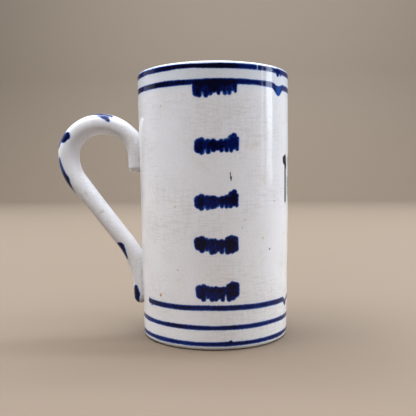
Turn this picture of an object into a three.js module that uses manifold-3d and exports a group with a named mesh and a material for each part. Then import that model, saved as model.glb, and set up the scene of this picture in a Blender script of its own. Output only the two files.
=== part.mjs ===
// An earthenware tankard: a tall, slightly tapered round body with a full-round lip and a rounded
// foot, and a looped strap handle luted to its wall at two places and fired with it as one piece.
// Units are millimetres, +Z is up, the body's axis is the Z axis, the foot rests on Z = 0 and the
// handle stands out along -X.
import * as THREE from "three";
import { mergeVertices } from "three/addons/utils/BufferGeometryUtils.js";
import Module from "manifold-3d";

// Body
const height = 140;
const mouthRadius = 40.62; // outside, at the lip
const baseRadius = 39.05; // outside, at the foot
const lipWall = 3.4;
const baseWall = 4.4;
const floorThickness = 6.5;
const footRounding = 2.2;
const floorFillet = 7;

// Middle line of the handle's strap
const reach = 41.2; // its furthest distance from the wall
const upperSeat = 2.8; // its distance from the wall at the upper joint
const lowerSeat = 2.2; // and at the lower joint
const loopHeight = 98; // height of the loop's widest place
const loopRise = 16.9; // from there up to the top of the loop
const loopDrop = 22; // from there down to where the loop would close, had it gone on
const lean = 38.5; // degrees between the slanting stretch and the upright
const sweepRadius = 40; // bend that turns the slanting stretch back along the wall
const upperEnd = 87.6; // height of the strap's upper end, which points down
const lowerEnd = 15.2; // height of its lower end

// Strap sections: share of the length from the upper end, thickness and width
const sections = [
  { at: 0, thick: 8.6, wide: 12.6 },
  { at: 0.12, thick: 9.8, wide: 13.2 },
  { at: 0.24, thick: 11.3, wide: 14.2 },
  { at: 0.36, thick: 10.9, wide: 14.4 },
  { at: 0.5, thick: 10.6, wide: 14.0 },
  { at: 0.64, thick: 9.4, wide: 13.2 },
  { at: 0.85, thick: 9.2, wide: 12.8 },
  { at: 1, thick: 7.0, wide: 12.2 },
];
const sectionRoundness = 2.3; // 2 is an ellipse, and more is squarer
const upperTip = 3.4; // length over which the upper end is rounded off
const lowerTip = 4.4; // and the lower end
const jointFlare = 1.3; // how far the strap spreads all round where it meets the wall
const flareDepth = 1.6; // distance from the wall over which the spreading fades

// Fineness
const bodySides = 96;
const lipSteps = 6;
const footSteps = 4;
const filletSteps = 5;
const strapRings = 56;
const strapSides = 20;

const glaze = new THREE.MeshStandardMaterial({ color: 0xdcdad6, roughness: 0.15, metalness: 0 });

// Outside radius of the wall at a height.
function outerRadius(z) {
  return THREE.MathUtils.lerp(baseRadius, mouthRadius, z / height);
}

// Inside radius of the wall at a height: the wall thins from the foot to the lip.
function innerRadius(z) {
  return outerRadius(z) - THREE.MathUtils.lerp(baseWall, lipWall, z / height);
}

// Points of a circular arc in the profile plane, from one angle to another in degrees.
function arc(centreR, centreZ, radius, from, to, steps) {
  return Array.from({ length: steps + 1 }, (_, i) => {
    const a = THREE.MathUtils.degToRad(THREE.MathUtils.lerp(from, to, i / steps));
    return new THREE.Vector2(centreR + radius * Math.cos(a), centreZ + radius * Math.sin(a));
  });
}

// The hollow body: its outline runs from the middle of the underside up the outside, over the lip,
// down the inside and across the floor.
function bodyGeometry() {
  const lipRadius = lipWall / 2;
  const lipZ = height - lipRadius;
  const filletZ = floorThickness + floorFillet;
  const outline = [
    new THREE.Vector2(0, 0),
    ...arc(outerRadius(footRounding) - footRounding, footRounding, footRounding, -90, 0, footSteps),
    ...arc(outerRadius(lipZ) - lipRadius, lipZ, lipRadius, 0, 180, lipSteps),
    ...arc(innerRadius(filletZ) - floorFillet, filletZ, floorFillet, 0, -90, filletSteps),
    new THREE.Vector2(0, floorThickness),
  ];
  return new THREE.LatheGeometry(outline, bodySides).rotateX(Math.PI / 2);
}

// Middle line of the strap in the plane of the handle, X out from the axis and Y up: the end that
// points down, the rounded top of the loop, its outer bend, the slanting stretch, the sweep back
// to the wall and the lower end.
function strapPath() {
  const nearX = outerRadius(loopHeight) + upperSeat;
  const farX = outerRadius(loopHeight) + reach;
  const halfWidth = (farX - nearX) / 2;
  const middleX = nearX + halfWidth;
  const turn = THREE.MathUtils.degToRad(lean);
  const bendEnd = Math.atan((Math.tan(turn) * loopDrop) / halfWidth);
  const slantTop = new THREE.Vector2(
    middleX + halfWidth * Math.cos(bendEnd),
    loopHeight - loopDrop * Math.sin(bendEnd),
  );
  const seatX = outerRadius(lowerEnd) + lowerSeat;
  const sweepSpan = sweepRadius * (1 - Math.cos(turn));
  const slantDrop = (slantTop.x - seatX - sweepSpan) / Math.tan(turn);
  const slantFoot = new THREE.Vector2(seatX + sweepSpan, slantTop.y - slantDrop);
  const sweepEndZ = slantFoot.y - sweepRadius * Math.sin(turn);
  const sweepX = seatX + sweepRadius;
  const path = new THREE.CurvePath();
  path.add(new THREE.LineCurve(new THREE.Vector2(nearX, upperEnd), new THREE.Vector2(nearX, loopHeight)));
  path.add(new THREE.EllipseCurve(middleX, loopHeight, halfWidth, loopRise, Math.PI, 0, true));
  path.add(new THREE.EllipseCurve(middleX, loopHeight, halfWidth, loopDrop, 0, -bendEnd, true));
  path.add(new THREE.LineCurve(slantTop, slantFoot));
  path.add(
    new THREE.EllipseCurve(sweepX, sweepEndZ, sweepRadius, sweepRadius, Math.PI - turn, Math.PI, false),
  );
  path.add(new THREE.LineCurve(new THREE.Vector2(seatX, sweepEndZ), new THREE.Vector2(seatX, lowerEnd)));
  return path;
}

// A section size at a share of the strap's length, eased between the listed sections.
function sectionSize(key, share) {
  const next = Math.max(1, sections.findIndex((s) => s.at >= share));
  const a = sections[next - 1];
  const b = sections[next];
  return THREE.MathUtils.lerp(a[key], b[key], THREE.MathUtils.smoothstep(share, a.at, b.at));
}

// How much of the full section is left at a distance from an end that is rounded off over tip.
function tipScale(distance, tip) {
  const inside = Math.min(distance / tip, 1);
  return Math.sqrt(1 - (1 - inside) ** 2);
}

// Distances along the strap at which rings are set, closer together at the rounded ends.
function ringDistances(length) {
  const tipSteps = 5;
  const tipShares = Array.from({ length: tipSteps - 1 }, (_, i) => {
    return 1 - Math.cos(((i + 1) / tipSteps) * (Math.PI / 2));
  });
  const middle = strapRings - 2 * tipShares.length;
  return [
    ...tipShares.map((share) => share * upperTip),
    ...Array.from({ length: middle }, (_, i) =>
      THREE.MathUtils.lerp(upperTip, length - lowerTip, i / (middle - 1)),
    ),
    ...tipShares.map((share) => length - share * lowerTip).reverse(),
  ];
}

// One point of the strap's skin: a rounded oval about the middle line, spread near the wall.
function skinPoint(path, length, distance, angle) {
  const share = distance / length;
  const centre = path.getPointAt(share);
  const along = path.getTangentAt(share);
  const scale = Math.min(tipScale(distance, upperTip), tipScale(length - distance, lowerTip));
  const power = 2 / sectionRoundness;
  const out = Math.sign(Math.cos(angle)) * Math.abs(Math.cos(angle)) ** power;
  const side = Math.sign(Math.sin(angle)) * Math.abs(Math.sin(angle)) ** power;
  const at = (grow) => {
    const thick = (sectionSize("thick", share) / 2 + grow) * scale * out;
    const wide = (sectionSize("wide", share) / 2 + grow) * scale * side;
    return new THREE.Vector3(-centre.x + along.y * thick, wide, centre.y + along.x * thick);
  };
  const bare = at(0);
  const fromWall = Math.max(Math.hypot(bare.x, bare.y) - outerRadius(bare.z), 0);
  return at(jointFlare * Math.exp(-fromWall / flareDepth));
}

// Closed skin of the strap: rings of points with a point at each end.
function strapGeometry() {
  const path = strapPath();
  const length = path.getLength();
  const points = [skinPoint(path, length, 0, 0)];
  for (const distance of ringDistances(length)) {
    for (let i = 0; i < strapSides; i++) {
      points.push(skinPoint(path, length, distance, (2 * Math.PI * i) / strapSides));
    }
  }
  points.push(skinPoint(path, length, length, 0));
  const lastPoint = points.length - 1;
  const lastRing = lastPoint - strapSides;
  const faces = [];
  for (let i = 0; i < strapSides; i++) {
    const j = (i + 1) % strapSides;
    faces.push(0, 1 + j, 1 + i);
    for (let here = 1; here < lastRing; here += strapSides) {
      const next = here + strapSides;
      faces.push(here + i, here + j, next + i, here + j, next + j, next + i);
    }
    faces.push(lastRing + i, lastRing + j, lastPoint);
  }
  const geometry = new THREE.BufferGeometry().setFromPoints(points);
  geometry.setIndex(faces);
  return geometry;
}

const wasm = await Module();
wasm.setup();

// A closed three.js geometry as a solid that can be joined to another.
function solidOf(geometry) {
  geometry.deleteAttribute("normal");
  geometry.deleteAttribute("uv");
  const merged = mergeVertices(geometry, 1e-4);
  return new wasm.Manifold(
    new wasm.Mesh({
      numProp: 3,
      vertProperties: new Float32Array(merged.getAttribute("position").array),
      triVerts: new Uint32Array(merged.getIndex().array),
    }),
  );
}

// A solid as a three.js geometry again.
function geometryOf(solid) {
  const mesh = solid.getMesh();
  const geometry = new THREE.BufferGeometry();
  geometry.setAttribute("position", new THREE.BufferAttribute(mesh.vertProperties, 3));
  geometry.setIndex(new THREE.BufferAttribute(mesh.triVerts, 1));
  geometry.computeVertexNormals();
  return geometry;
}

// The body and the handle luted to it, fired as one piece.
function tankard() {
  const fired = solidOf(bodyGeometry()).add(solidOf(strapGeometry()));
  const mesh = new THREE.Mesh(geometryOf(fired), glaze);
  mesh.name = "tankard";
  return mesh;
}

const group = new THREE.Group();
group.add(tankard());

export default group;
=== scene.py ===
"""An old earthenware tankard: a tall, slightly tapered body with a looped strap handle luted to its
wall, under a white, finely crazed glaze. Cobalt blue brushwork lies under the glaze: two bands at the
rim, three at the foot, a column of five rows of dabs on either side and single strokes down the back
of the handle. A row of plain black strokes stands on the front.

Arrays are in millimetres and become metres when a mesh is made. The body's axis is Z, the handle
stands out along -X, and "around" is the angle in degrees from -Y towards +X.
"""

import bpy
import numpy as np
from mathutils import Matrix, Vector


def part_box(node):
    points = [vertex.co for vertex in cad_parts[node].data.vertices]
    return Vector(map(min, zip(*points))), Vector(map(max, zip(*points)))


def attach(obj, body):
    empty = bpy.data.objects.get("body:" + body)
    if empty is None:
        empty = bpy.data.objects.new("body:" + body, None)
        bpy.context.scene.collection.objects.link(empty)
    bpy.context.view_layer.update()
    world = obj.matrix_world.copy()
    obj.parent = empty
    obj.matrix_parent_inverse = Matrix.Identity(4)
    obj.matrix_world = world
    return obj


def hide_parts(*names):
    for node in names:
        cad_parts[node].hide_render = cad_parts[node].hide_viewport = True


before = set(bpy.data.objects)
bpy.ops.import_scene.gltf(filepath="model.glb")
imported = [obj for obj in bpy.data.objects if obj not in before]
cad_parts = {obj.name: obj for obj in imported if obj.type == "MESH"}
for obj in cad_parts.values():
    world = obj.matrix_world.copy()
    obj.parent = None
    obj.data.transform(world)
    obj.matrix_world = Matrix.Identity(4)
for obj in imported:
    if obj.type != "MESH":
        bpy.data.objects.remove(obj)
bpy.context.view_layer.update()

MM = 0.001

# Body
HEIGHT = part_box("tankard")[1][2] / MM
MOUTH_RADIUS = 40.62
BASE_RADIUS = 39.05
LIP_WALL = 3.4
BASE_WALL = 4.4
FLOOR = 6.5
FOOT_ROUNDING = 2.2
FLOOR_FILLET = 7.0
FOOT_RING_WIDTH = 3.2
FOOT_RECESS = 0.7

# Marks of the hand on the body; the lean starts at a height and is full at the mouth
BELLY = 0.2
LEAN = 0.45
LEAN_FROM = 60.0
LEAN_RISE = 80.0
OVALNESS = 0.12
TURNING = 0.025

# Strap handle
REACH = 41.2
UPPER_SEAT = 2.8
LOWER_SEAT = 2.2
LOOP_HEIGHT = 98.0
LOOP_RISE = 16.9
LOOP_DROP = 22.0
STRAP_LEAN = 38.5
SWEEP_RADIUS = 40.0
UPPER_END = 87.6
LOWER_END = 15.2
STRAP_SHARES = (0, 0.12, 0.24, 0.36, 0.5, 0.64, 0.85, 1)
STRAP_THICKNESSES = (8.6, 9.8, 11.3, 10.9, 10.6, 9.4, 9.2, 7.0)
STRAP_WIDTHS = (12.6, 13.2, 14.2, 14.4, 14.0, 13.2, 12.8, 12.2)
SECTION_ROUNDNESS = 2.3
UPPER_TIP = 3.4
LOWER_TIP = 4.4
JOINT_FLARE = 1.3
FLARE_DEPTH = 1.6

# Painted bands: middle height and width. The second band sags to a point on either side of the front,
# and so does the open line, which starts beside the handle.
RIM_BAND = (137.5, 2.8)
SECOND_BAND = (130.1, 3.0)
OPEN_LINE = (21.0, 2.9)
LOW_BAND = (11.4, 2.5)
FOOT_BAND = (3.35, 2.4)
POINT_AROUND = 58.3
POINT_HALF = 7.6
POINT_DEPTH = 3.4
OPEN_START = -55.5
OPEN_POINT_AROUND = 73.9
OPEN_POINT_DEPTH = 2.3

# Directions at which the rim band is narrower and at which its colour has pooled dark, between which
# both upper bands are thin, and at which the low band's colour has pooled
NARROW_AROUND = -14.0
POOLED_AROUND = -6.0
THIN_FROM = 38.0
THIN_TO = 150.0
LOW_POOL_AROUND = -26.0

# A white hairline where the rim band's brush met itself
HAIRLINE_AROUND = 36.5
HAIRLINE_FOOT = 134.8
HAIRLINE_TOP = 139.4

# A stray tick of black on the near side: direction around and height of its top
TICK_AROUND = 16.0
TICK_TOP = 87.2

# A drop of colour on the top edge of the foot band
BLOT_AROUND = 15.3
BLOT_HEIGHT = 4.1

# Rows of dabs on either side: distance across from the column's middle, top and bottom heights, and
# the radius at the top and at the foot
COLUMN_AROUND = 6.0
DAB_ROWS = (
    (
        (-9.0, 131.0, 122.8, 2.4, 2.1),
        (-7.7, 131.0, 122.3, 1.8, 1.4),
        (-4.6, 131.0, 122.2, 1.9, 1.45),
        (-2.4, 131.0, 123.1, 1.8, 1.4),
        (-0.6, 131.0, 124.2, 1.6, 1.2),
        (1.6, 131.0, 123.3, 1.6, 1.05),
        (4.6, 131.0, 123.3, 1.7, 1.15),
        (6.7, 131.0, 123.4, 1.7, 1.15),
        (9.6, 131.0, 124.4, 1.5, 0.95),
    ),
    (
        (-8.4, 103.3, 95.9, 2.3, 2.3),
        (-6.9, 103.8, 95.1, 1.8, 1.6),
        (-3.8, 103.1, 95.4, 1.8, 1.4),
        (-1.2, 103.2, 96.3, 1.6, 1.5),
        (0.8, 102.2, 97.0, 1.3, 1.2),
        (2.6, 103.0, 96.1, 1.5, 1.15),
        (5.2, 103.3, 96.1, 1.8, 1.2),
        (7.4, 105.0, 96.1, 1.6, 1.2),
        (8.8, 105.8, 97.5, 1.6, 1.3),
        (10.3, 104.2, 96.9, 1.3, 1.0),
    ),
    (
        (-8.8, 76.0, 69.2, 2.3, 2.2),
        (-7.3, 76.8, 68.3, 1.8, 1.5),
        (-4.4, 76.2, 68.6, 1.7, 1.5),
        (-2.2, 76.0, 69.0, 1.6, 1.4),
        (-0.9, 75.9, 69.3, 1.5, 1.3),
        (0.6, 74.9, 70.0, 1.2, 1.1),
        (2.6, 75.7, 69.3, 1.4, 1.1),
        (4.8, 76.3, 69.2, 1.8, 1.15),
        (6.9, 77.9, 69.4, 1.6, 1.15),
        (8.5, 78.9, 70.2, 1.5, 1.3),
        (9.7, 77.0, 69.8, 1.25, 1.0),
    ),
    (
        (-9.0, 55.9, 49.0, 2.3, 2.2),
        (-7.3, 56.5, 47.8, 1.8, 1.6),
        (-4.9, 55.6, 48.6, 1.4, 1.2),
        (-2.6, 55.3, 47.0, 1.7, 1.5),
        (-1.0, 55.3, 47.4, 1.5, 1.4),
        (0.4, 54.6, 48.5, 1.3, 1.2),
        (2.3, 55.0, 47.3, 1.7, 1.3),
        (5.4, 56.2, 47.0, 1.9, 1.6),
        (7.2, 56.8, 47.4, 1.9, 1.7),
        (8.9, 56.4, 48.2, 1.9, 1.8),
    ),
    (
        (-8.4, 32.6, 25.3, 2.3, 2.2),
        (-6.6, 33.1, 24.1, 1.8, 1.4),
        (-4.5, 32.3, 25.5, 1.3, 1.1),
        (-2.6, 32.0, 24.1, 1.6, 1.4),
        (-0.6, 32.1, 24.3, 1.6, 1.3),
        (1.0, 31.4, 25.3, 1.3, 1.2),
        (2.7, 31.6, 24.1, 1.6, 1.2),
        (5.8, 33.2, 24.0, 1.9, 1.4),
        (7.6, 34.3, 24.6, 2.0, 1.8),
        (9.2, 33.9, 26.0, 2.0, 1.9),
    ),
)

# Row of tall black strokes on the front: direction of its middle, how many, distance between them,
# height of the top and length
FRONT_AROUND = 90.0
FRONT_STROKES = 4
FRONT_SPACING = 8.8
FRONT_TOP = 96.5
TALL_STROKE = 25.3

# Strokes on the back of the strap: distance along the strap, distance across from the middle of its
# back, radius there, and how much colour
STRAP_STROKES = (
    ((43.2, -3.4, 0.9), (33.9, -4.4, 1.6), 0.6),
    ((39.0, -6.0, 0.8), (33.8, -8.0, 1.0), 0.9),
    ((40.0, -4.6, 0.8), (35.4, -5.8, 1.4), 0.05),
    ((57.6, -7.9, 2.2), (59.6, -7.4, 2.0), 1.2),
    ((58.6, -3.4, 2.6), (62.8, -4.6, 1.9), 0.1),
    ((69.0, -6.4, 0.9), (79.5, -5.0, 3.6), 0.2),
    ((79.5, -5.0, 3.6), (92.5, -2.4, 0.9), 1.0),
    ((126.8, -5.6, 2.8), (133.6, -4.6, 2.0), 0.9),
    ((152.0, -6.6, 1.1), (156.0, -5.6, 2.8), 0.6),
    ((156.0, -5.6, 2.8), (160.0, -4.7, 3.0), 0.6),
)
# How much further along and lower the strokes on the strap's far side lie
FAR_SLIDE = 6.0
FAR_LIFT = 1.2

# A short dark line across the strap's slanting stretch
STRAP_CRACK = ((104.6, -6.0, 0.35), (105.4, -10.8, 0.35))

# Dark lines: two ends, radius and depth. The first two are blemishes on the strap's slanting
# stretch; the others are painted shade along its joints.
BLEMISHES_AND_JOINT_SHADE = (
    ((-70.6, -6.8, 77.5), (-68.6, -6.7, 75.0), 0.45, 0.9),
    ((-67.8, -6.6, 74.0), (-67.3, -6.6, 73.4), 0.4, 0.6),
    ((-39.9, -7.0, 100.0), (-39.9, -7.0, 89.0), 0.5, 0.7),
    ((-39.7, -6.6, 43.0), (-39.3, -6.9, 22.0), 0.6, 1.3),
    ((-39.0, -6.9, 21.0), (-40.6, -3.2, 14.4), 0.9, 1.7),
)

# Small marks in the glaze: direction around, height, radius, and which colour
SPECKS = (
    (-39.4, 25.6, 0.80, "rust"),
    (48.1, 48.7, 0.55, "brown"),
    (25.9, 63.9, 0.40, "grey"),
    (24.2, 60.2, 0.35, "grey"),
    (53.3, 72.5, 0.60, "straw"),
    (68.2, 55.5, 0.55, "straw"),
    (41.6, 54.4, 0.60, "straw"),
    (-35.5, 119.8, 0.55, "straw"),
    (-24.5, 70.2, 0.60, "straw"),
    (-22.9, 39.2, 0.30, "brown"),
    (-50.8, 124.5, 0.50, "blue"),
)
SPECK_COLOURS = {
    "rust": (0.42, 0.16, 0.05, 1),
    "brown": (0.10, 0.065, 0.045, 1),
    "grey": (0.28, 0.28, 0.30, 1),
    "straw": (0.55, 0.46, 0.30, 1),
    "blue": (0.35, 0.45, 0.70, 1),
}

# Distance outside a mark at which the surface counts as bare of it
REACH_OF_PAINT = 4.0

# The glaze is tinged with blue above a height, and on top of the lip it is bluer again, a painted
# reflection of the sky
TINGE_FROM = 124.5
TINGE_RISE = 5.0
LIP_REFLECTION_FROM = 138.4
LIP_REFLECTION_RISE = 0.8

# Steps of the body's grid: heights, fine where there is brushwork, and directions in degrees likewise
FINE = 0.55
COARSE = 2.0
FINE_TURN = 0.78
COARSE_TURN = 3.0
BRUSHED_HEIGHTS = [(0, 23.5), (23.5, 34.8), (46.5, 57.2), (68, 79.5), (94.5, 106.4), (121.5, HEIGHT)]
BRUSHED_TURNS = [(-90, -78), (-12, 24), (34.5, 38.5), (50, 108), (112, 130), (156, 192), (258, 282)]

# Distance from the wall's outside within which a point belongs to the wall
WALL_SKIN = 0.6


def ease(t):
    """Zero below 0 and one above 1, with a smooth S between."""
    t = np.clip(t, 0.0, 1.0)
    return t * t * (3.0 - 2.0 * t)


def graded(low, high, coarse, fine, zones):
    """Places from low to high whose spacing is fine inside the zones and coarse elsewhere: the spacing's
    reciprocal is summed along the way and cut into equal shares."""
    way = np.linspace(low, high, 6000)
    inside = np.zeros(way.size, dtype=bool)
    for a, b in zones:
        inside |= (way >= a) & (way <= b)
    shares = np.cumsum(np.where(inside, 1.0 / fine, 1.0 / coarse)) * (way[1] - way[0])
    count = int(np.ceil(shares[-1] - shares[0]))
    return np.interp(np.linspace(shares[0], shares[-1], count + 1), shares, way)


def outer_radius(z):
    """Straight taper from foot to mouth."""
    return BASE_RADIUS + (MOUTH_RADIUS - BASE_RADIUS) * z / HEIGHT


def inner_radius(z):
    """The outer radius less a wall that thins from foot to lip."""
    return outer_radius(z) - (BASE_WALL + (LIP_WALL - BASE_WALL) * z / HEIGHT)


def leaning(z):
    """How far the body stands out of true at a height, eased in from where the lean starts."""
    return LEAN * ease((z - LEAN_FROM) / LEAN_RISE)


def arc(centre_r, centre_z, radius, start, end, steps):
    """Points of a circular arc in the profile plane, angles in degrees."""
    a = np.radians(np.linspace(start, end, steps + 1))
    return np.column_stack([centre_r + radius * np.cos(a), centre_z + radius * np.sin(a)])


def body_outline():
    """Profile (radius, height) from the middle of the underside to the middle of the floor: glazed
    recess, foot ring, rounded edge, outside, full-round lip, inside, fillet and floor."""
    ring_out = outer_radius(FOOT_ROUNDING) - FOOT_ROUNDING
    ring_in = ring_out - FOOT_RING_WIDTH
    t = np.linspace(0.0, 1.0, 9)
    recess = np.column_stack([np.linspace(0.8, ring_in - 1.4, 12), np.full(12, FOOT_RECESS)])
    step = np.column_stack([ring_in - 1.4 * (1 - t), FOOT_RECESS * (1 - ease(t))])[1:]
    foot = arc(ring_out, FOOT_ROUNDING, FOOT_ROUNDING, -90, 0, 8)
    lip_r = LIP_WALL / 2
    lip_z = HEIGHT - lip_r
    z = graded(FOOT_ROUNDING, lip_z, COARSE, FINE, BRUSHED_HEIGHTS)[1:-1]
    wall = np.column_stack([outer_radius(z), z])
    lip = arc(outer_radius(lip_z) - lip_r, lip_z, lip_r, 0, 180, 12)
    fillet_z = FLOOR + FLOOR_FILLET
    z = np.linspace(lip_z, fillet_z, 36)[1:-1]
    inside = np.column_stack([inner_radius(z), z])
    fillet = arc(inner_radius(fillet_z) - FLOOR_FILLET, fillet_z, FLOOR_FILLET, 0, -90, 8)
    floor_r = np.linspace(fillet[-1, 0], 0.8, 12)[1:]
    floor = np.column_stack([floor_r, np.full(floor_r.size, FLOOR)])
    return np.vstack([recess, step, foot, wall, lip, inside, fillet, floor])


def warp_body(points):
    """The hand's small faults: a slight belly, an oval mouth, a lean towards the handle and faint
    turning marks, all smooth functions of height and direction."""
    x, y, z = points.T
    r = np.hypot(x, y)
    a = np.arctan2(y, x)
    rise = z / HEIGHT
    grow = BELLY * np.sin(np.pi * np.clip(rise, 0, 1))
    grow += OVALNESS * rise * np.cos(2 * a + 0.6)
    grow += TURNING * (np.sin(z / 3.1 + 0.8 * np.sin(a)) + np.sin(z / 7.7 + a))
    grow *= ease(r / 20.0) * ease((z - 0.5) / 4.0)
    scale = 1 + grow / np.maximum(r, 1.0)
    return np.column_stack([x * scale - leaning(z), y * scale, z])


def grid_faces(rows, columns):
    """Quads of a grid that closes on itself sideways, then the fans that close both ends."""
    i, j = np.meshgrid(np.arange(rows - 1), np.arange(columns), indexing="ij")
    k = (j + 1) % columns
    quads = np.stack([i * columns + j, i * columns + k, (i + 1) * columns + k, (i + 1) * columns + j], -1)
    j = np.arange(columns)
    k = (j + 1) % columns
    last = rows * columns
    first_fan = np.column_stack([np.full(columns, last), k, j])
    end = (rows - 1) * columns
    last_fan = np.column_stack([np.full(columns, last + 1), end + j, end + k])
    return quads.reshape(-1, 4).tolist() + first_fan.tolist() + last_fan.tolist()


def make_mesh(name, points, faces):
    """A smooth-shaded mesh object in metres."""
    mesh = bpy.data.meshes.new(name)
    mesh.from_pydata((points * MM).tolist(), [], faces)
    mesh.polygons.foreach_set("use_smooth", np.ones(len(mesh.polygons), dtype=bool))
    mesh.update()
    obj = bpy.data.objects.new(name, mesh)
    bpy.context.scene.collection.objects.link(obj)
    return obj


def body_points():
    """The outline turned about the axis, with columns closer together where there is brushwork."""
    around = np.radians(graded(-90, 270, COARSE_TURN, FINE_TURN, BRUSHED_TURNS)[:-1])
    outline = body_outline()
    r, z = outline.T
    x = np.outer(r, np.sin(around))
    y = np.outer(r, -np.cos(around))
    ring = np.stack([x, y, np.broadcast_to(z[:, None], x.shape)], -1)
    points = np.vstack([ring.reshape(-1, 3), [[0, 0, FOOT_RECESS], [0, 0, FLOOR]]])
    return points, len(outline), around.size


def strap_path(steps=1200):
    """Middle line of the strap as (distance, out, height): the end that points down, the loop's
    rounded top, its outer bend, the slanting stretch, the sweep back and the lower end."""
    near = outer_radius(LOOP_HEIGHT) + UPPER_SEAT
    far = outer_radius(LOOP_HEIGHT) + REACH
    half = (far - near) / 2
    middle = near + half
    turn = np.radians(STRAP_LEAN)
    bend = np.arctan(np.tan(turn) * LOOP_DROP / half)
    top = np.linspace(np.pi, 0, 200)
    outer = np.linspace(0, -bend, 80)[1:]
    slant_top = np.array([middle + half * np.cos(bend), LOOP_HEIGHT - LOOP_DROP * np.sin(bend)])
    seat = outer_radius(LOWER_END) + LOWER_SEAT
    span = SWEEP_RADIUS * (1 - np.cos(turn))
    slant_foot = np.array([seat + span, slant_top[1] - (slant_top[0] - seat - span) / np.tan(turn)])
    sweep = np.linspace(np.pi - turn, np.pi, 80)
    sweep_z = slant_foot[1] - SWEEP_RADIUS * np.sin(turn)
    line = np.vstack([
        [[near, UPPER_END]],
        np.column_stack([middle + half * np.cos(top), LOOP_HEIGHT + LOOP_RISE * np.sin(top)]),
        np.column_stack([middle + half * np.cos(outer), LOOP_HEIGHT + LOOP_DROP * np.sin(outer)]),
        np.column_stack([
            seat + SWEEP_RADIUS * (1 + np.cos(sweep)),
            sweep_z + SWEEP_RADIUS * np.sin(sweep),
        ]),
        [[seat, LOWER_END]],
    ])
    run = np.concatenate([[0], np.cumsum(np.hypot(*np.diff(line, axis=0).T))])
    u = np.linspace(0, run[-1], steps)
    return u, np.interp(u, run, line[:, 0]), np.interp(u, run, line[:, 1])


def strap_size(share, sizes):
    """A section size at shares of the length, eased between the listed sections."""
    stops = np.array(STRAP_SHARES, dtype=float)
    i = np.clip(np.searchsorted(stops, share) - 1, 0, stops.size - 2)
    t = ease((share - stops[i]) / (stops[i + 1] - stops[i]))
    sizes = np.array(sizes)
    return sizes[i] + (sizes[i + 1] - sizes[i]) * t


def strap_points(rings=230, sides=48):
    """Rounded oval sections about the middle line, rounded off at both ends and spread where the
    clay meets the wall."""
    u, out, high = strap_path()
    length = u[-1]
    tip = 1 - np.cos(np.linspace(0, np.pi / 2, 10)[1:-1])
    run = np.concatenate([
        tip * UPPER_TIP,
        np.linspace(UPPER_TIP, length - LOWER_TIP, rings - 2 * tip.size),
        (length - tip * LOWER_TIP)[::-1],
    ])
    share = run / length
    centre = np.column_stack([np.interp(run, u, out), np.interp(run, u, high)])
    along = np.column_stack([
        np.interp(run, u, np.gradient(out, u)),
        np.interp(run, u, np.gradient(high, u)),
    ])
    along /= np.linalg.norm(along, axis=1)[:, None]
    from_end = np.minimum(run / UPPER_TIP, (length - run) / LOWER_TIP)
    tip_scale = np.sqrt(1 - (1 - np.clip(from_end, 0, 1)) ** 2)[:, None]
    angle = np.linspace(0, 2 * np.pi, sides, endpoint=False)[None, :]
    power = 2 / SECTION_ROUNDNESS
    outward = np.sign(np.cos(angle)) * np.abs(np.cos(angle)) ** power
    sideways = np.sign(np.sin(angle)) * np.abs(np.sin(angle)) ** power
    thick = strap_size(share, STRAP_THICKNESSES)[:, None] / 2
    wide = strap_size(share, STRAP_WIDTHS)[:, None] / 2

    def skin(grow):
        """The sections' outlines, larger all round by a distance."""
        t = (thick + grow) * tip_scale * outward
        w = (wide + grow) * tip_scale * sideways
        x = -centre[:, :1] + along[:, 1:] * t
        z = centre[:, 1:] + along[:, :1] * t
        return np.stack([x, w, z], -1)

    bare = skin(0.0)
    from_wall = np.hypot(bare[..., 0], bare[..., 1]) - outer_radius(bare[..., 2])
    full = skin(JOINT_FLARE * np.exp(-np.maximum(from_wall, 0) / FLARE_DEPTH))
    ends = [[-out[0], 0, high[0]], [-out[-1], 0, high[-1]]]
    return np.vstack([full.reshape(-1, 3), ends]), run.size, sides


def strap_place(points):
    """Where points lie on the strap: distance along its middle line, found as the nearest point of
    that line, and distance across its back, which is the angle round the section times its mean
    half size."""
    u, out, high = strap_path(900)
    x, y, z = points.T
    near = np.argmin((-x[:, None] - out) ** 2 + (z[:, None] - high) ** 2, axis=1)
    along = np.column_stack([np.gradient(out, u), np.gradient(high, u)])[near]
    outward = (x + out[near]) * along[:, 1] + (z - high[near]) * along[:, 0]
    share = u[near] / u[-1]
    mean = (strap_size(share, STRAP_THICKNESSES) + strap_size(share, STRAP_WIDTHS)) / 4
    return u[near], np.arctan2(y, outward) * mean


def dab(x, y, start, end):
    """Signed distance to a brush mark that runs from start to end, each (x, y, radius), and is
    rounded at both: the distance to the nearest point of its line less the radius there."""
    ax, ay, ar = start
    bx, by, br = end
    dx, dy = bx - ax, by - ay
    t = np.clip(((x - ax) * dx + (y - ay) * dy) / (dx * dx + dy * dy), 0, 1)
    return np.hypot(x - ax - t * dx, y - ay - t * dy) - (ar + (br - ar) * t)


def from_line(points, start, end):
    """Distance of points from the straight line between two places."""
    start = np.array(start)
    reach = np.array(end) - start
    share = np.clip((points - start) @ reach / (reach @ reach), 0, 1)
    return np.linalg.norm(points - start - share[:, None] * reach, axis=1)


class Brushwork:
    """Colour on a surface: how far each point lies inside the paint, how much it carries, and how far
    the point lies inside the black."""

    def __init__(self, size):
        self.inside = np.full(size, -REACH_OF_PAINT)
        self.black = np.full(size, -REACH_OF_PAINT)
        self.load = np.zeros(size)

    def add(self, distance, strength):
        """Colour inside a mark, given the signed distance to it, with its load fading at the edge."""
        self.inside = np.maximum(self.inside, -distance)
        self.load += strength * ease((0.5 - distance) / 1.4)

    def add_black(self, distance):
        """Black inside a mark, given the signed distance to it."""
        self.black = np.maximum(self.black, -distance)


def wobble(x, seed, size, length):
    """A smooth uneven line: three sines with phases drawn from the seed."""
    draw = np.random.default_rng(seed)
    total = np.zeros_like(x)
    for share in (1.0, 0.55, 0.3):
        total += share * np.sin(2 * np.pi * x / (length * share) + draw.uniform(0, 6.28))
    whole = 1.0 + 0.55 + 0.3
    return size * total / whole


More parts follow.
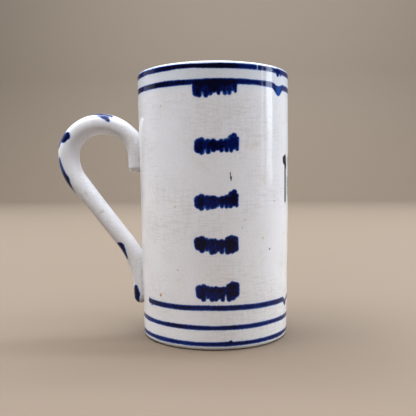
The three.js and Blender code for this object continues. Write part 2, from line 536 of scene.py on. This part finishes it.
def paint_bands(brush, around, z):
    """The turned bands: each is the distance from its middle height less half its width. The rim band is
    darkest in the middle of the near side and thinner on the front, the second one sags to a point on
    either side of the front, and so does the open line, which begins beside the handle."""
    side = np.degrees(np.arctan2(np.sin(np.radians(around)), np.abs(np.cos(np.radians(around)))))
    arc_mm = np.radians(around) * outer_radius(z)
    dip = ease(1.05 - np.abs(side - POINT_AROUND) / POINT_HALF)
    narrow = 0.2 * ease(1.5 - np.abs(around - NARROW_AROUND) / 10.0)
    pooled = ease(1.6 - np.abs(around - POOLED_AROUND) / 20.0)
    thinned = ease((around - THIN_FROM) / 12.0) * ease((THIN_TO - around) / 12.0)
    pool_below = ease(1.4 - np.abs(around - LOW_POOL_AROUND) / 8.0)
    rise_above = 1.2
    dip_lift = -(POINT_DEPTH + rise_above) / 2 * dip
    dip_growth = (POINT_DEPTH - rise_above) / 2 * dip
    bands = (
        (RIM_BAND, narrow, -narrow, 1.2 + 3.6 * pooled - 0.7 * thinned),
        (SECOND_BAND, dip_lift, dip_growth, 1.4 - 0.6 * thinned - 0.7 * dip),
        (LOW_BAND, 0.0, 0.0, 0.85 + 1.5 * pool_below),
        (FOOT_BAND, 0.0, 0.0, 0.8),
    )
    for number, ((height, width), lift, growth, strength) in enumerate(bands):
        middle = height + lift + wobble(arc_mm, 40 + number, 0.16, 83.0)
        half = width / 2 + growth + wobble(arc_mm, 50 + number, 0.12, 31.0)
        brush.add(np.abs(z - middle) - half, strength)
    height, width = OPEN_LINE
    sag = OPEN_POINT_DEPTH * ease(1.05 - np.abs(side - OPEN_POINT_AROUND) / 6.0)
    level = np.abs(z - height + sag - wobble(arc_mm, 44, 0.2, 60.0)) - width / 2 - 0.15 * sag
    beyond = np.radians(OPEN_START - side) * BASE_RADIUS
    brush.add(np.hypot(np.maximum(level, 0), np.maximum(beyond, 0)) + np.minimum(level, 0), 0.9)
    x = np.radians(side - OPEN_START) * outer_radius(z)
    brush.add(dab(x, z, (0.6, height + 1.4, 0.8), (1.7, height - 1.6, 0.9)), 0.9)


def paint_side(brush, around, z, seed, spread):
    """One side's column of dabs and the points that hang from the rim bands."""
    x = np.radians(around - COLUMN_AROUND) * outer_radius(z)
    draw = np.random.default_rng(seed)
    for row in DAB_ROWS:
        for across, top, bottom, top_radius, foot_radius in row:
            sway = draw.uniform(-0.15, 0.15)
            stretch = draw.uniform(-spread, spread)
            start = (across + sway, top - top_radius + stretch, top_radius)
            end = (across - sway, bottom + foot_radius - stretch, foot_radius)
            brush.add(dab(x, z, start, end), draw.uniform(0.5, 0.95))
        left, right = row[0], row[-1]
        start = (left[0] + 0.6, (left[1] + left[2]) / 2, 2.3)
        end = (right[0] - 1.2, (min(right[1], 130.0) + right[2]) / 2, 2.0)
        brush.add(dab(x, z, start, end), 0.35)
    x = np.radians(around - POINT_AROUND) * outer_radius(z)
    height = RIM_BAND[0]
    for across, drop, radius in ((-0.3, 1.3, 1.6), (2.6, 1.2, 1.0)):
        brush.add(dab(x, z, (across, height, radius + 0.3), (across, height - drop, radius)), 0.4)


def paint_front(brush, around, z):
    """Black strokes side by side on the front. The first has a thick slanting head, a blot on the head's
    left and a narrow upright tail. The other tall ones only taper, and short plain dashes stand between."""
    x = np.radians(around - FRONT_AROUND) * outer_radius(z)
    top = FRONT_TOP
    foot = FRONT_TOP - TALL_STROKE + 1.3
    for number in range(FRONT_STROKES):
        left = (number - (FRONT_STROKES - 1) / 2) * FRONT_SPACING
        if number == 0:
            brush.add_black(dab(x, z, (left, top - 1.4, 1.5), (left + 1.4, top - 6.2, 1.4)))
            brush.add_black(dab(x, z, (left - 2.0, top - 2.8, 1.9), (left - 1.6, top - 3.6, 1.9)))
            brush.add_black(dab(x, z, (left + 0.2, top - 6.0, 1.2), (left + 0.3, foot, 1.3)))
        else:
            brush.add_black(dab(x, z, (left + 0.2, top - 2.0, 1.9), (left + 0.3, foot, 1.1)))
        if number < FRONT_STROKES - 1:
            middle = left + FRONT_SPACING / 2 + 0.3
            brush.add_black(dab(x, z, (middle, top - 12.0, 0.8), (middle + 0.5, top - 21.0, 0.6)))


def paint_strap(brush, along, across):
    """Strokes over the strap's back. Those of the far side lie a little lower on it and further along."""
    near = across <= 0
    for start, end, strength in STRAP_STROKES:
        u = np.where(near, along, along + FAR_SLIDE)
        v = np.where(near, across, FAR_LIFT - across)
        brush.add(dab(u, v, start, end), strength)


def brushwork(points):
    """All the colour on the tankard, at points of its finished surface."""
    x, y, z = points.T
    x = x + leaning(z)
    size = len(points)
    from_axis = np.hypot(x, y)
    on_strap = (from_axis > outer_radius(z) + WALL_SKIN) & (x < 0)
    brush = Brushwork(size)
    around = np.degrees(np.arctan2(x, -y))
    paint_bands(brush, around, z)
    mirrored = np.degrees(np.arctan2(x, np.abs(y)))
    for seed, spread, here in ((7, 0.0, y <= 0), (19, 0.3, y > 0)):
        half = Brushwork(size)
        paint_side(half, mirrored, z, seed, spread)
        brush.inside = np.where(here, np.maximum(brush.inside, half.inside), brush.inside)
        brush.load += np.where(here, half.load, 0)
    paint_front(brush, around, z)
    x_tick = np.radians(around - TICK_AROUND) * outer_radius(z)
    x_blot = np.radians(around - BLOT_AROUND) * outer_radius(z)
    brush.add(dab(x_blot, z, (-0.3, BLOT_HEIGHT, 0.8), (0.3, BLOT_HEIGHT + 0.2, 0.9)), 1.6)
    brush.add_black(dab(x_tick, z, (-0.35, TICK_TOP, 0.3), (-0.1, TICK_TOP - 1.8, 0.4)))
    brush.add_black(dab(x_tick, z, (0.1, TICK_TOP - 2.6, 0.5), (0.2, TICK_TOP - 4.0, 0.6)))
    x_hairline = np.radians(around - HAIRLINE_AROUND) * MOUTH_RADIUS
    hairline = dab(x_hairline, z, (0, HAIRLINE_FOOT, 0.12), (0.2, HAIRLINE_TOP, 0.12))
    brush.inside = np.minimum(brush.inside, hairline)
    off_wall = (from_axis < outer_radius(z) - WALL_SKIN) & (z > 1.0)
    for field in (brush.inside, brush.black):
        field[off_wall | on_strap] = -REACH_OF_PAINT
    brush.load[off_wall | on_strap] = 0

    strap = Brushwork(np.count_nonzero(on_strap))
    along, across = strap_place(np.column_stack([x, y, z])[on_strap])
    paint_strap(strap, along, across)
    brush.inside[on_strap] = strap.inside
    brush.load[on_strap] = strap.load

    ring_out = outer_radius(FOOT_ROUNDING) - FOOT_ROUNDING
    ring_middle = ring_out - FOOT_RING_WIDTH / 2
    bare = ease((FOOT_RING_WIDTH / 2 + 0.9 - np.abs(from_axis - ring_middle)) / 0.8) * (z < 0.5)

    # Painted shade: darker in the creases where the strap meets the wall, with more painted shade along the
    # listed joint lines. Two blemishes and a crack on the strap are real marks.
    beside = np.maximum(np.abs(y) - 6.5, 0)
    low_joint = np.hypot(beside, np.clip(z, LOWER_END, 46.0) - z)
    high_joint = np.hypot(beside, np.clip(z, UPPER_END, LOOP_HEIGHT + 14) - z)
    joint_shade_and_blemishes = ease(1.0 - np.minimum(low_joint, high_joint) / 1.2) * (x < 0)
    joint_shade_and_blemishes = joint_shade_and_blemishes * ease((1.0 - np.abs(from_axis - outer_radius(z))) / 0.8)
    for start, end, radius, depth in BLEMISHES_AND_JOINT_SHADE:
        joint_shade_and_blemishes = np.maximum(joint_shade_and_blemishes, depth * ease(1.4 - from_line(points, start, end) / radius))
    dark_line = dab(along, across, STRAP_CRACK[0], STRAP_CRACK[1])
    joint_shade_and_blemishes[on_strap] = np.maximum(joint_shade_and_blemishes[on_strap], 1.6 * ease(0.7 - dark_line))
    # Blue tinge of the glaze near the rim, plus a painted reflection of the sky on top of the lip
    blue_tinge_and_lip_reflection = ease((z - TINGE_FROM) / TINGE_RISE) + 0.7 * ease((z - LIP_REFLECTION_FROM) / LIP_REFLECTION_RISE)
    blue_tinge_and_lip_reflection = blue_tinge_and_lip_reflection * ease((from_axis - outer_radius(z) + 3.0) / 2.0)
    return {
        "blue_tinge_and_lip_reflection": blue_tinge_and_lip_reflection,
        "painted": brush.inside + REACH_OF_PAINT,
        "black": brush.black + REACH_OF_PAINT,
        "load": brush.load,
        "bare": bare,
        "joint_shade_and_blemishes": joint_shade_and_blemishes,
    }


def make_tankard():
    """The body and the strap made one solid, as the slip and the glaze make them one piece."""
    points, rows, columns = body_points()
    body = make_mesh("tankard_piece", warp_body(points), grid_faces(rows, columns))
    points, rings, sides = strap_points()
    points[:, 0] -= leaning(points[:, 2])
    strap = make_mesh("strap", points, grid_faces(rings, sides))
    join = body.modifiers.new("join", "BOOLEAN")
    join.operation = "UNION"
    join.solver = "EXACT"
    join.object = strap
    whole = bpy.data.meshes.new_from_object(body.evaluated_get(bpy.context.evaluated_depsgraph_get()))
    body.modifiers.clear()
    body.data = whole
    bpy.data.objects.remove(strap)
    places = np.empty(len(whole.vertices) * 3)
    whole.vertices.foreach_get("co", places)
    for name, values in brushwork(places.reshape(-1, 3) / MM).items():
        layer = whole.attributes.new(name, "FLOAT", "POINT")
        layer.data.foreach_set("value", values.astype(np.float32))
    return body


class Graph:
    """Small helper that adds shader nodes and links them in one line each."""

    def __init__(self, name):
        self.material = bpy.data.materials.new(name)
        self.material.use_nodes = True
        self.tree = self.material.node_tree
        self.tree.nodes.clear()

    def node(self, kind, inputs=(), **settings):
        """A new node; each input is either linked, if it is a socket, or set."""
        made = self.tree.nodes.new(kind)
        for key, value in settings.items():
            setattr(made, key, value)
        for key, value in dict(inputs).items():
            if isinstance(value, bpy.types.NodeSocket):
                self.tree.links.new(value, made.inputs[key])
            else:
                made.inputs[key].default_value = value
        return made

    def maths(self, operation, a, b):
        """One step of arithmetic on two numbers."""
        return self.node("ShaderNodeMath", {0: a, 1: b}, operation=operation).outputs[0]

    def field(self, name):
        """A value stored at the mesh's points."""
        return self.node("ShaderNodeAttribute", attribute_name=name).outputs["Fac"]

    def rise(self, value, low, high):
        """Zero below low, one above high, smooth between."""
        inputs = {"Value": value, "From Min": low, "From Max": high}
        return self.node("ShaderNodeMapRange", inputs, interpolation_type="SMOOTHSTEP").outputs["Result"]

    def mix(self, share, a, b):
        """Colour a turning into colour b as the share goes from 0 to 1."""
        return self.node("ShaderNodeMix", {0: share, 6: a, 7: b}, data_type="RGBA").outputs[2]

    def noise(self, place, scale, detail=2.0, roughness=0.5):
        """Cloudy noise from 0 to 1; the scale is in clouds per metre."""
        inputs = {"Vector": place, "Scale": scale, "Detail": detail, "Roughness": roughness}
        return self.node("ShaderNodeTexNoise", inputs).outputs["Fac"]


def glaze_material():
    """White glaze over cobalt brushwork on pale clay."""
    g = Graph("crazed_white_glaze")
    place = g.node("ShaderNodeTexCoord").outputs["Object"]
    height = g.node("ShaderNodeSeparateXYZ", {0: place}).outputs["Z"]

    # White of the glaze: warmer below, cooler above, tinged with the blue that ran at the rim, and bluer on
    # top of the lip as a painted reflection of the sky
    low_white = (0.745, 0.742, 0.765, 1)
    high_white = (0.71, 0.73, 0.79, 1)
    blue_tinge_and_reflection = (0.50, 0.60, 0.73, 1)
    cloud_grey = (0.60, 0.57, 0.53, 1)
    stain_brown = (0.56, 0.49, 0.38, 1)
    grain_grey = (0.47, 0.45, 0.44, 1)
    line_grey = (0.44, 0.43, 0.43, 1)
    craze_brown = (0.34, 0.29, 0.23, 1)
    iron_brown = (0.30, 0.20, 0.12, 1)
    white = g.mix(g.rise(height, 0.0, 0.125), low_white, high_white)
    white = g.mix(g.maths("MULTIPLY", g.field("blue_tinge_and_lip_reflection"), 0.42), white, blue_tinge_and_reflection)
    clouds = g.rise(g.noise(place, 38.0, 3.0), 0.35, 0.75)
    white = g.mix(g.maths("MULTIPLY", clouds, 0.16), white, cloud_grey)
    stains = g.rise(g.noise(place, 95.0, 4.0, 0.6), 0.58, 0.74)
    white = g.mix(g.maths("MULTIPLY", stains, 0.22), white, stain_brown)
    grain = g.rise(g.noise(place, 800.0, 3.0, 0.65), 0.35, 0.68)
    white = g.mix(g.maths("MULTIPLY", grain, 0.12), white, grain_grey)

    # Fine lines left by turning and by the crazing under tension: level ones and upright ones
    for stretch, size, depth in (((0.10, 0.10, 1.0), 1500.0, 0.22), ((1.0, 1.0, 0.07), 1300.0, 0.11)):
        inputs = {0: place, 1: stretch}
        pulled = g.node("ShaderNodeVectorMath", inputs, operation="MULTIPLY").outputs["Vector"]
        lines = g.rise(g.noise(pulled, size, 1.0), 0.48, 0.66)
        where = g.rise(g.noise(place, 30.0, 1.0), 0.42, 0.6)
        share = g.maths("MULTIPLY", g.maths("MULTIPLY", lines, where), depth)
        white = g.mix(share, white, line_grey)

    # Crazing: a net of hairlines, finer and coarser, stained here and there
    patches = g.rise(g.noise(place, 45.0, 2.0), 0.4, 0.62)
    for scale, width, depth in ((470.0, 0.07, 0.14), (900.0, 0.08, 0.13)):
        cells = {"Vector": place, "Scale": scale}
        edge = g.node("ShaderNodeTexVoronoi", cells, feature="DISTANCE_TO_EDGE").outputs["Distance"]
        line = g.maths("SUBTRACT", 1.0, g.rise(edge, 0.0, width))
        share = g.maths("MULTIPLY", line, g.maths("ADD", 0.25, g.maths("MULTIPLY", patches, 0.75)))
        white = g.mix(g.maths("MULTIPLY", share, depth), white, craze_brown)

    # Pinholes and iron specks
    cells = {"Vector": place, "Scale": 150.0}
    dots = g.node("ShaderNodeTexVoronoi", cells, feature="F1")
    pick = g.node("ShaderNodeSeparateColor", {0: dots.outputs["Color"]})
    near = g.maths("SUBTRACT", 1.0, g.rise(dots.outputs["Distance"], 0.03, 0.09))
    few = g.rise(pick.outputs[0], 0.955, 0.96)
    speck = g.maths("MULTIPLY", g.maths("MULTIPLY", near, few), 0.55)
    white = g.mix(speck, white, iron_brown)

    for around, level, radius, kind in SPECKS:
        a = np.radians(around)
        r = outer_radius(level)
        spot = (r * np.sin(a) * MM, -r * np.cos(a) * MM, level * MM)
        inputs = {0: place, 1: spot}
        away = g.node("ShaderNodeVectorMath", inputs, operation="DISTANCE").outputs["Value"]
        near = g.maths("SUBTRACT", 1.0, g.rise(away, 0.55 * radius * MM, 1.5 * radius * MM))
        white = g.mix(g.maths("MULTIPLY", near, 0.8), white, SPECK_COLOURS[kind])

    # Cobalt: soft bleeding edge, thin and light at the rim of a mark, near black where it pools
    ragged = g.maths("MULTIPLY", g.maths("SUBTRACT", g.noise(place, 900.0, 2.0), 0.5), 0.5)
    depth = g.maths("ADD", g.maths("SUBTRACT", g.field("painted"), REACH_OF_PAINT), ragged)
    cover = g.rise(depth, -0.18, 0.26)
    streaks = g.noise(place, 1000.0, 3.0, 0.6)
    mottle = g.maths("ADD", 1.0, g.maths("MULTIPLY", g.maths("SUBTRACT", streaks, 0.5), 3.2))
    load = g.maths("MULTIPLY", g.field("load"), mottle)
    pools = g.maths("ADD", 0.55, g.maths("MULTIPLY", g.rise(g.noise(place, 75.0, 2.0), 0.35, 0.65), 0.8))
    load = g.maths("MULTIPLY", g.maths("MULTIPLY", load, pools), g.rise(depth, 0.05, 1.0))
    thin_blue = (0.016, 0.070, 0.29, 1)
    full_blue = (0.0012, 0.006, 0.085, 1)
    pooled_blue = (0.0006, 0.0008, 0.015, 1)
    halo_blue = (0.42, 0.50, 0.72, 1)
    black_paint = (0.003, 0.0035, 0.005, 1)
    blue = g.mix(g.rise(load, 0.0, 0.5), thin_blue, full_blue)
    blue = g.mix(g.rise(load, 0.45, 1.5), blue, pooled_blue)
    halo = g.maths("MULTIPLY", g.rise(depth, -1.3, -0.1), 0.16)
    colour = g.mix(halo, white, halo_blue)
    colour = g.mix(cover, colour, blue)
    ink = g.maths("ADD", g.maths("SUBTRACT", g.field("black"), REACH_OF_PAINT), ragged)
    inked = g.rise(ink, -0.15, 0.2)
    colour = g.mix(inked, colour, black_paint)

    # Painted shade in the joints, dark blemishes and a crack on the strap, and bare clay on the foot ring
    shade_and_blemish_brown = (0.16, 0.12, 0.085, 1)
    dark_clay = (0.42, 0.32, 0.22, 1)
    light_clay = (0.60, 0.50, 0.38, 1)
    shade_and_blemish_share = g.maths("MULTIPLY", g.field("joint_shade_and_blemishes"), g.rise(g.noise(place, 260.0, 3.0), 0.3, 0.7))
    colour = g.mix(g.maths("MULTIPLY", shade_and_blemish_share, 0.35), colour, shade_and_blemish_brown)
    clay_grain = g.noise(place, 700.0, 4.0, 0.7)
    clay = g.mix(clay_grain, dark_clay, light_clay)
    bare = g.field("bare")
    colour = g.mix(bare, colour, clay)

    # Gloss: even on the glaze, dull on bare clay, less bright on the black
    roughness = g.maths("ADD", 0.07, g.maths("MULTIPLY", g.noise(place, 60.0, 3.0), 0.06))
    roughness = g.maths("ADD", roughness, g.maths("MULTIPLY", bare, 0.7))
    roughness = g.maths("ADD", roughness, g.maths("MULTIPLY", inked, 0.45))
    swell = g.noise(place, 55.0, 2.0)
    peel = g.noise(place, 620.0, 2.0)
    relief = g.maths("ADD", swell, g.maths("MULTIPLY", peel, 0.04))
    relief = g.maths("ADD", relief, g.maths("MULTIPLY", g.maths("MULTIPLY", clay_grain, bare), 0.3))
    bump = g.node("ShaderNodeBump", {"Height": relief, "Strength": 0.12, "Distance": 0.0012})
    surface = g.node("ShaderNodeBsdfPrincipled", {
        "Base Color": colour,
        "Roughness": roughness,
        "IOR": 1.5,
        "Specular IOR Level": 0.21,
        "Normal": bump.outputs["Normal"],
    })
    g.node("ShaderNodeOutputMaterial", {"Surface": surface.outputs[0]})
    return g.material


def plain_material(name, colour, roughness):
    """One colour and one roughness all over."""
    g = Graph(name)
    surface = g.node("ShaderNodeBsdfPrincipled", {"Base Color": colour, "Roughness": roughness})
    g.node("ShaderNodeOutputMaterial", {"Surface": surface.outputs[0]})
    return g.material


# Floor: half its breadth, where its level part begins and ends, then the radius and angle of the bend
# behind it, and how far the sheet goes on back and up from there
FLOOR_HALF = 4000.0
FLOOR_NEAR = -3000.0
FLOOR_FAR = 2200.0
BEND_RADIUS = 900.0
BEND_ANGLE = 80.0
BACK_RUN = 300.0
BACK_RISE = 2500.0
FLOOR_COLOUR = (0.135, 0.100, 0.071, 1)
FLOOR_ROUGHNESS = 0.75


def make_floor():
    """A pale sheet that runs level under the tankard and far behind it sweeps up out of sight."""
    across = np.linspace(-FLOOR_HALF, FLOOR_HALF, 9)
    level = np.linspace(FLOOR_NEAR, FLOOR_FAR, 9)
    bend = np.radians(np.linspace(0, BEND_ANGLE, 17)[1:])
    back = np.concatenate([level, FLOOR_FAR + BEND_RADIUS * np.sin(bend)])
    up = np.concatenate([np.zeros(level.size), BEND_RADIUS * (1 - np.cos(bend))])
    back = np.append(back, back[-1] + BACK_RUN)
    up = np.append(up, up[-1] + BACK_RISE)
    x, y = np.meshgrid(across, back)
    z = np.broadcast_to(up[:, None], x.shape)
    rows, columns = x.shape
    i, j = np.meshgrid(np.arange(rows - 1), np.arange(columns - 1), indexing="ij")
    corner = (i * columns + j).ravel()
    faces = np.column_stack([corner, corner + 1, corner + columns + 1, corner + columns]).tolist()
    floor = make_mesh("floor", np.stack([x, y, z], -1).reshape(-1, 3), faces)
    floor.data.materials.append(plain_material("pale_floor", FLOOR_COLOUR, FLOOR_ROUGHNESS))


# Camera: where the photo was taken from, in the tankard's own frame
VIEW_AROUND = 5.0
VIEW_DISTANCE = 308.75
VIEW_LEFT = 3.49
VIEW_HEIGHT = 81.5
VIEW_DOWN = 2.49
VIEW_TILT = 0.43
FOCAL_PIXELS = 561.0
FRAME_PIXELS = 416.0
SENSOR = 36.0


def make_camera():
    """A camera level with the middle of the tankard, looking slightly down and very slightly tilted."""
    a, down, tilt = np.radians([VIEW_AROUND, VIEW_DOWN, VIEW_TILT])
    right = np.array([np.cos(a), np.sin(a), 0])
    away = np.array([-np.sin(a), np.cos(a), 0])
    up = np.array([0, 0, 1.0])
    look = away * np.cos(down) - up * np.sin(down)
    above = away * np.sin(down) + up * np.cos(down)
    image_right = np.cos(tilt) * right - np.sin(tilt) * above
    image_up = np.sin(tilt) * right + np.cos(tilt) * above
    place = (-VIEW_LEFT * right - VIEW_DISTANCE * away + VIEW_HEIGHT * up) * MM
    turn = np.column_stack([image_right, image_up, -look])
    data = bpy.data.cameras.new("camera")
    data.sensor_width = SENSOR
    data.lens = SENSOR * FOCAL_PIXELS / FRAME_PIXELS
    data.clip_start = 0.01
    camera = bpy.data.objects.new("camera", data)
    camera.matrix_world = Matrix.Translation(place) @ Matrix(turn.tolist()).to_4x4()
    bpy.context.scene.collection.objects.link(camera)
    bpy.context.scene.camera = camera


# The room's own light: how high it comes from, 0 straight below and 1 straight above, and its colour
ROOM_BELOW = (0.0, (0.060, 0.043, 0.032, 1))
ROOM_LOW = (0.25, (0.125, 0.110, 0.098, 1))
ROOM_ABOVE = (0.75, (0.75, 0.79, 0.85, 1))

# Colours of the lights, and the points that they face
PLAIN = (1.0, 1.0, 1.0)
COOL = (0.80, 0.90, 1.0)
PALE_BLUE = (0.84, 0.93, 1.0)
PINK = (1.0, 0.9, 0.86)
MIDDLE = (0, 0, 70.0)
LOW = (0, 0, 150.0)
EYE_LEVEL = (0, 0, 420.0)
HIGH = (0, 0, 560.0)
BACKDROP = (0, 2900.0, 500.0)

# Lights: name, direction around, distance from the axis, height, width and tallness of the panel,
# power in watts, colour, and the point it faces
LIGHTS = (
    ("front_left", -35.0, 1000.0, 2000.0, 1400.0, 1000.0, 19.0, PLAIN, MIDDLE),
    ("front_right", 45.0, 1000.0, 2000.0, 1400.0, 1000.0, 15.5, PLAIN, MIDDLE),
    ("overhead", 180.0, 300.0, 1700.0, 1600.0, 1600.0, 8.0, PLAIN, MIDDLE),
    ("side_right", 112.0, 1400.0, 1300.0, 1300.0, 900.0, 23.5, PLAIN, MIDDLE),
    ("side_left", -88.0, 900.0, 1700.0, 1300.0, 900.0, 35.0, PLAIN, MIDDLE),
    ("window_high", 95.5, 1500.0, 560.0, 330.0, 640.0, 7.2, COOL, HIGH),
    ("window_low", 95.5, 1500.0, 150.0, 330.0, 180.0, 1.1, COOL, LOW),
    ("window_edge", 81.5, 1500.0, 420.0, 40.0, 840.0, 0.9, PINK, EYE_LEVEL),
    ("right_glow", 133.0, 1500.0, 420.0, 500.0, 840.0, 0.25, PLAIN, EYE_LEVEL),
    ("left_glow", -106.0, 1500.0, 420.0, 800.0, 840.0, 1.6, PLAIN, EYE_LEVEL),
    ("back_wash", 180.0, 900.0, 2400.0, 3000.0, 600.0, 170.0, PALE_BLUE, BACKDROP),
)


def make_light(name, around, distance, height, width, tall, power, colour, aim):
    """A soft rectangular light at a direction around the tankard, turned to face the aim point."""
    a = np.radians(around)
    place = np.array([distance * np.sin(a), -distance * np.cos(a), height])
    look = np.array(aim) - place
    look = look / np.linalg.norm(look)
    side = np.cross(look, [0, 0, 1.0])
    side = side / np.linalg.norm(side)
    top = np.cross(side, look)
    data = bpy.data.lights.new(name, "AREA")
    data.shape = "RECTANGLE"
    data.size = width * MM
    data.size_y = tall * MM
    data.energy = power
    data.color = colour
    lamp = bpy.data.objects.new(name, data)
    turn = Matrix(np.column_stack([side, top, -look]).tolist()).to_4x4()
    lamp.matrix_world = Matrix.Translation(place * MM) @ turn
    bpy.context.scene.collection.objects.link(lamp)


def make_room():
    """Dim light from all round: pale from above, faint at eye level and warm from below."""
    world = bpy.data.worlds.new("room")
    world.use_nodes = True
    tree = world.node_tree
    tree.nodes.clear()
    place = tree.nodes.new("ShaderNodeTexCoord")
    split = tree.nodes.new("ShaderNodeSeparateXYZ")
    ramp = tree.nodes.new("ShaderNodeValToRGB")
    back = tree.nodes.new("ShaderNodeBackground")
    out = tree.nodes.new("ShaderNodeOutputWorld")
    stops = ramp.color_ramp.elements
    stops[0].position, stops[0].color = ROOM_BELOW
    stops[1].position, stops[1].color = ROOM_ABOVE
    low = stops.new(ROOM_LOW[0])
    low.color = ROOM_LOW[1]
    tree.links.new(place.outputs["Generated"], split.inputs[0])
    tree.links.new(split.outputs["Z"], ramp.inputs[0])
    tree.links.new(ramp.outputs[0], back.inputs["Color"])
    tree.links.new(back.outputs[0], out.inputs["Surface"])
    back.inputs["Strength"].default_value = 1.0
    bpy.context.scene.world = world


def make_lights():
    """Large soft lights above and in front, a tall window on the right and a dim one on the left."""
    make_room()
    for light in LIGHTS:
        make_light(*light)


make_camera()
tankard = make_tankard()
tankard.data.materials.clear()
tankard.data.materials.append(glaze_material())
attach(tankard, "root")
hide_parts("tankard")
make_floor()
make_lights()
bpy.context.scene.view_settings.view_transform = "Standard"
